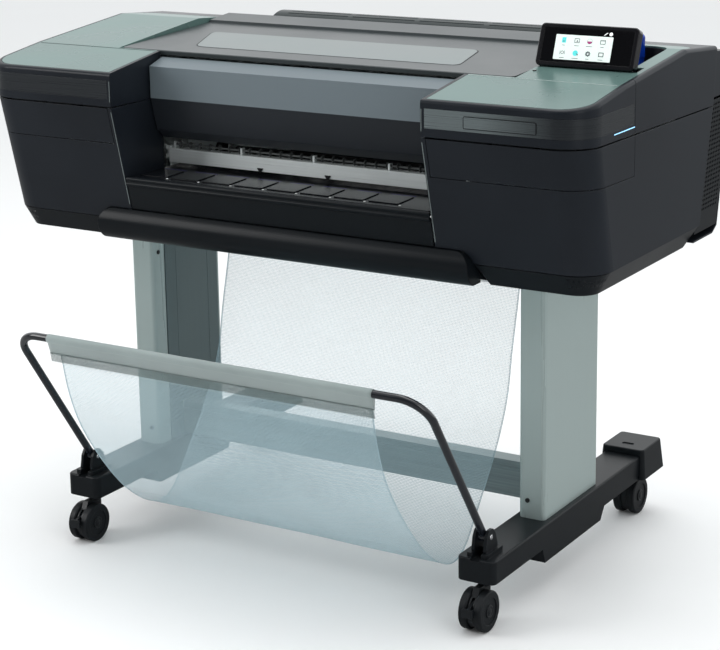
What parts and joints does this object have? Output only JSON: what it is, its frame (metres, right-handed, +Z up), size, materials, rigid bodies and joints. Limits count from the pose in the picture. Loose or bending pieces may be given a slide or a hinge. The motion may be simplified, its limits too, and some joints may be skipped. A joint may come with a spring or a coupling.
{
  "type": "large format plotter",
  "caption": "Wide roll-fed plotter on a wheeled stand: two towers, hinged front cover, tilting touch display, ink doors, roll cover, carriage, twin-wheel casters and a cloth catch bin.",
  "frame": {"origin": "floor level, at the centre of the bounding box seen from above", "axes": "+Z up, +X to the right of somebody facing the front, the front looks towards -Y"},
  "size_m": [1.317, 0.9394, 1.0816],
  "materials": {
    "charcoal": "fine spark texture",
    "dark_cover": "satin",
    "panel_green": "satin",
    "brushed_strip": "brushed",
    "gloss_black": "gloss",
    "inner_black": "matt",
    "sheet_steel": "zinc plated",
    "leg_grey": "satin powder coat",
    "leg_dark": "satin powder coat",
    "brace_grey": "satin powder coat",
    "foot_black": "fine texture",
    "caster_black": "satin",
    "tube_black": "gloss",
    "sling_mesh": "open mesh",
    "display_glass": "glass clear",
    "pen_blue": "gloss",
    "roller_rubber": "ground rubber",
    "shaft_steel": "ground",
    "belt_rubber": "matt",
    "cartridge_grey": "satin",
    "screw_black": "black oxide"
  },
  "bodies": {
    "printer": {"band_strips": "brushed_strip", "bin_sling": "sling_mesh", "bumper": "charcoal", "chassis": "sheet_steel", "cross_brace": "brace_grey", "drive_belts": "belt_rubber", "feet": "foot_black", "foot_caps": "foot_black", "frame_brackets": "sheet_steel", "front_bands": "charcoal", "front_beam": "sheet_steel", "front_panel": "charcoal", "ink_bays": "inner_black", "ink_cartridges": "cartridge_grey", "left_top_panel": "panel_green", "leg_panels": "leg_dark", "legs": "leg_grey", "motors": "inner_black", "pen_tray": "inner_black", "platen": "inner_black", "power_unit": "sheet_steel", "rear_caps": "charcoal", "rear_panel": "charcoal", "right_top_panel": "panel_green", "scan_rail": "sheet_steel", "screws": "screw_black", "service_station": "inner_black", "side_covers": "charcoal", "skirts": "charcoal", "top_cover": "dark_cover", "upper_covers": "charcoal", "vent_grilles": "inner_black"},
    "front_cover": {"front_cover": "dark_cover"},
    "roll_cover": {"roll_cover": "dark_cover"},
    "left_ink_door": {"left_ink_door": "charcoal"},
    "right_ink_door": {"right_ink_door": "charcoal"},
    "display": {"display_housing": "gloss_black", "display_glass": "display_glass"},
    "pen": {"pen": "pen_blue"},
    "power_button": {"power_button": "gloss_black"},
    "carriage": {"carriage": "inner_black", "printheads": "cartridge_grey"},
    "drive_pulley": {"drive_pulley": "shaft_steel"},
    "idler_pulley": {"idler_pulley": "shaft_steel"},
    "feed_roller": {"feed_roller": "roller_rubber"},
    "feed_motor_pulley": {"feed_motor_pulley": "shaft_steel"},
    "star_wheels": {"star_wheels": "shaft_steel"},
    "cutter": {"cutter": "inner_black"},
    "roll_spindle": {"roll_spindle": "shaft_steel"},
    "bin_frame": {"bin_frame": "tube_black"},
    "front_left_caster": {"front_left_caster": "caster_black"},
    "front_left_wheels": {"front_left_wheels": "caster_black"},
    "front_left_brake_lever": {"front_left_brake_lever": "caster_black"},
    "front_right_caster": {"front_right_caster": "caster_black"},
    "front_right_wheels": {"front_right_wheels": "caster_black"},
    "front_right_brake_lever": {"front_right_brake_lever": "caster_black"},
    "rear_left_caster": {"rear_left_caster": "caster_black"},
    "rear_left_wheels": {"rear_left_wheels": "caster_black"},
    "rear_right_caster": {"rear_right_caster": "caster_black"},
    "rear_right_wheels": {"rear_right_wheels": "caster_black"}
  },
  "joints": [
    {"name": "front_cover_hinge", "type": "hinge", "parent": "printer", "child": "front_cover", "pos_m": [0, -0.12025, 0.9785], "axis": [-1, 0, 0], "range_deg": [0, 70]},
    {"name": "roll_cover_hinge", "type": "hinge", "parent": "printer", "child": "roll_cover", "pos_m": [0, 0.40775, 0.914], "axis": [-1, 0, 0], "range_deg": [0, 70]},
    {"name": "left_ink_door_hinge", "type": "hinge", "parent": "printer", "child": "left_ink_door", "pos_m": [-0.3524, -0.27775, 0.87], "axis": [0, 0, 1], "range_deg": [0, 90]},
    {"name": "right_ink_door_hinge", "type": "hinge", "parent": "printer", "child": "right_ink_door", "pos_m": [0.3524, -0.27775, 0.87], "axis": [0, 0, -1], "range_deg": [0, 90]},
    {"name": "display_tilt", "type": "hinge", "parent": "printer", "child": "display", "pos_m": [0.535, -0.00425, 0.999], "axis": [-1, 0, 0], "range_deg": [0, 12]},
    {"name": "pen_lift", "type": "slide", "parent": "printer", "child": "pen", "axis": [0, 0, 1], "range_m": [0, 0.09]},
    {"name": "power_button_press", "type": "slide", "parent": "printer", "child": "power_button", "axis": [0, 0, -1], "range_m": [0, 0.0012], "stiffness_N_per_m": 300},
    {"name": "carriage_slide", "type": "slide", "parent": "printer", "child": "carriage", "axis": [1, 0, 0], "range_m": [-1, 0]},
    {"name": "drive_pulley_spin", "type": "hinge", "parent": "printer", "child": "drive_pulley", "pos_m": [-0.57, 0.14975, 0.905], "axis": [0, 1, 0], "continuous": true},
    {"name": "idler_pulley_spin", "type": "hinge", "parent": "printer", "child": "idler_pulley", "pos_m": [0.57, 0.14975, 0.905], "axis": [0, 1, 0], "continuous": true},
    {"name": "feed_roller_spin", "type": "hinge", "parent": "printer", "child": "feed_roller", "pos_m": [0, 0.13175, 0.751], "axis": [1, 0, 0], "continuous": true},
    {"name": "feed_motor_pulley_spin", "type": "hinge", "parent": "printer", "child": "feed_motor_pulley", "pos_m": [-0.367, 0.19775, 0.7], "axis": [1, 0, 0], "continuous": true},
    {"name": "star_wheels_spin", "type": "hinge", "parent": "printer", "child": "star_wheels", "pos_m": [0, -0.09725, 0.8085], "axis": [1, 0, 0], "continuous": true},
    {"name": "cutter_slide", "type": "slide", "parent": "printer", "child": "cutter", "axis": [1, 0, 0], "range_m": [-0.6, 0]},
    {"name": "roll_spindle_spin", "type": "hinge", "parent": "printer", "child": "roll_spindle", "pos_m": [0, 0.33175, 0.948], "axis": [1, 0, 0], "continuous": true},
    {"name": "bin_frame_fold", "type": "hinge", "parent": "printer", "child": "bin_frame", "pos_m": [0, -0.25025, 0.175], "axis": [-1, 0, 0], "range_deg": [0, 35]},
    {"name": "front_left_swivel", "type": "hinge", "parent": "printer", "child": "front_left_caster", "pos_m": [-0.453, -0.24825, 0.08], "axis": [0, 0, 1], "continuous": true},
    {"name": "front_left_wheel_spin", "type": "hinge", "parent": "front_left_caster", "child": "front_left_wheels", "pos_m": [-0.453, -0.27025, 0.039], "axis": [1, 0, 0], "continuous": true},
    {"name": "front_left_brake", "type": "hinge", "parent": "front_left_caster", "child": "front_left_brake_lever", "pos_m": [-0.453, -0.28725, 0.057], "axis": [-1, 0, 0], "range_deg": [0, 14]},
    {"name": "front_right_swivel", "type": "hinge", "parent": "printer", "child": "front_right_caster", "pos_m": [0.453, -0.24825, 0.08], "axis": [0, 0, 1], "continuous": true},
    {"name": "front_right_wheel_spin", "type": "hinge", "parent": "front_right_caster", "child": "front_right_wheels", "pos_m": [0.453, -0.27025, 0.039], "axis": [1, 0, 0], "continuous": true},
    {"name": "front_right_brake", "type": "hinge", "parent": "front_right_caster", "child": "front_right_brake_lever", "pos_m": [0.453, -0.28725, 0.057], "axis": [-1, 0, 0], "range_deg": [0, 14]},
    {"name": "rear_left_swivel", "type": "hinge", "parent": "printer", "child": "rear_left_caster", "pos_m": [-0.453, 0.43175, 0.08], "axis": [0, 0, 1], "continuous": true},
    {"name": "rear_left_wheel_spin", "type": "hinge", "parent": "rear_left_caster", "child": "rear_left_wheels", "pos_m": [-0.453, 0.40975, 0.039], "axis": [1, 0, 0], "continuous": true},
    {"name": "rear_right_swivel", "type": "hinge", "parent": "printer", "child": "rear_right_caster", "pos_m": [0.453, 0.43175, 0.08], "axis": [0, 0, 1], "continuous": true},
    {"name": "rear_right_wheel_spin", "type": "hinge", "parent": "rear_right_caster", "child": "rear_right_wheels", "pos_m": [0.453, 0.40975, 0.039], "axis": [1, 0, 0], "continuous": true}
  ],
  "couplings": [
    {"joint": "drive_pulley_spin", "follows": "carriage_slide", "rad_per_m": -81.301},
    {"joint": "idler_pulley_spin", "follows": "carriage_slide", "rad_per_m": -81.301},
    {"joint": "feed_motor_pulley_spin", "follows": "feed_roller_spin", "ratio": 2.3592}
  ]
}
